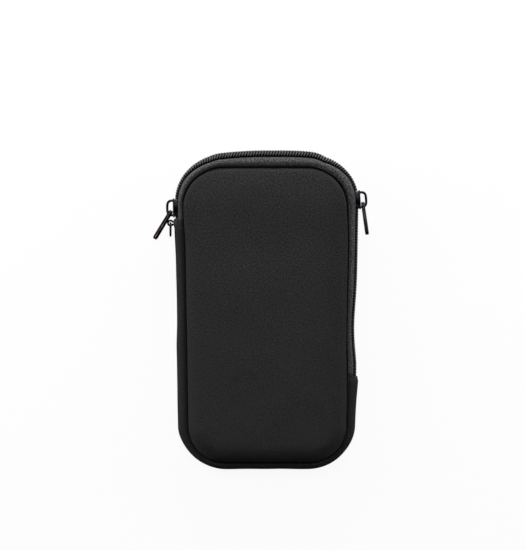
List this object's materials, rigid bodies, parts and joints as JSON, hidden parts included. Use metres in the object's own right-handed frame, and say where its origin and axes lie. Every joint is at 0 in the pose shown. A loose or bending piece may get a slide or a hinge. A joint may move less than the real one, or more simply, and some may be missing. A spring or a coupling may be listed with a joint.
{
  "type": "phone sleeve",
  "caption": "Soft neoprene phone sleeve with rounded corners, closed by a coil zip with sliding pulls, partly unzipped at the top.",
  "frame": {"origin": "on the flat back face, which the sleeve lies on, at the centre of the sleeve's outline", "axes": "+Y towards the zipped top of the sleeve, +Z out of the front panel, +X to the right as seen from the front"},
  "size_m": [0.1112, 0.1643, 0.0172],
  "materials": {
    "neoprene": "matt knitted neoprene",
    "gusset_neoprene": "matt knitted neoprene",
    "binding": "woven tape",
    "zip_tape": "woven tape",
    "zip_coil": "nylon coil",
    "thread": "sewing thread",
    "slider_metal": "dark satin plating",
    "pull_metal": "gunmetal black"
  },
  "bodies": {
    "sleeve": {"front_panel": "neoprene", "back_panel": "neoprene", "side_gusset": "gusset_neoprene", "binding_front": "binding", "binding_back": "binding", "tape_front": "zip_tape", "tape_back": "zip_tape", "coil_front": "zip_coil", "coil_back": "zip_coil", "bartack_left": "thread", "bartack_right": "thread", "strap_loop": "zip_tape"},
    "left_slider": {"slider_left": "slider_metal", "bridge_left": "slider_metal"},
    "left_pull": {"pull_left": "pull_metal"},
    "right_slider": {"slider_right": "slider_metal", "bridge_right": "slider_metal"},
    "right_pull": {"pull_right": "pull_metal"},
    "ring": {"strap_ring": "slider_metal"}
  },
  "joints": [
    {"name": "left_slider_travel", "type": "hinge", "parent": "sleeve", "child": "left_slider", "pos_m": [-0.02176, 0.0527, 0.0068], "axis": [0, 0, -1], "range_deg": [0, 85], "deforming": ["coil_front", "coil_back", "tape_front", "tape_back"]},
    {"name": "left_pull_swing", "type": "hinge", "parent": "left_slider", "child": "left_pull", "pos_m": [-0.04947, 0.05034, 0.0068], "axis": [0, 0, -1], "range_deg": [0, 110]},
    {"name": "right_slider_travel", "type": "slide", "parent": "sleeve", "child": "right_slider", "axis": [-0.0164, -0.9999, 0], "range_m": [0, 0.0855], "deforming": ["coil_front", "coil_back"]},
    {"name": "right_pull_swing", "type": "hinge", "parent": "right_slider", "child": "right_pull", "pos_m": [0.04949, 0.05469, 0.0068], "axis": [0, 0, 1], "range_deg": [-8, 130]},
    {"name": "strap_ring_swing", "type": "hinge", "parent": "sleeve", "child": "ring", "pos_m": [-0.0496, 0.04456, 0.0068], "axis": [0, 0, 1], "range_deg": [-12, 14]}
  ]
}
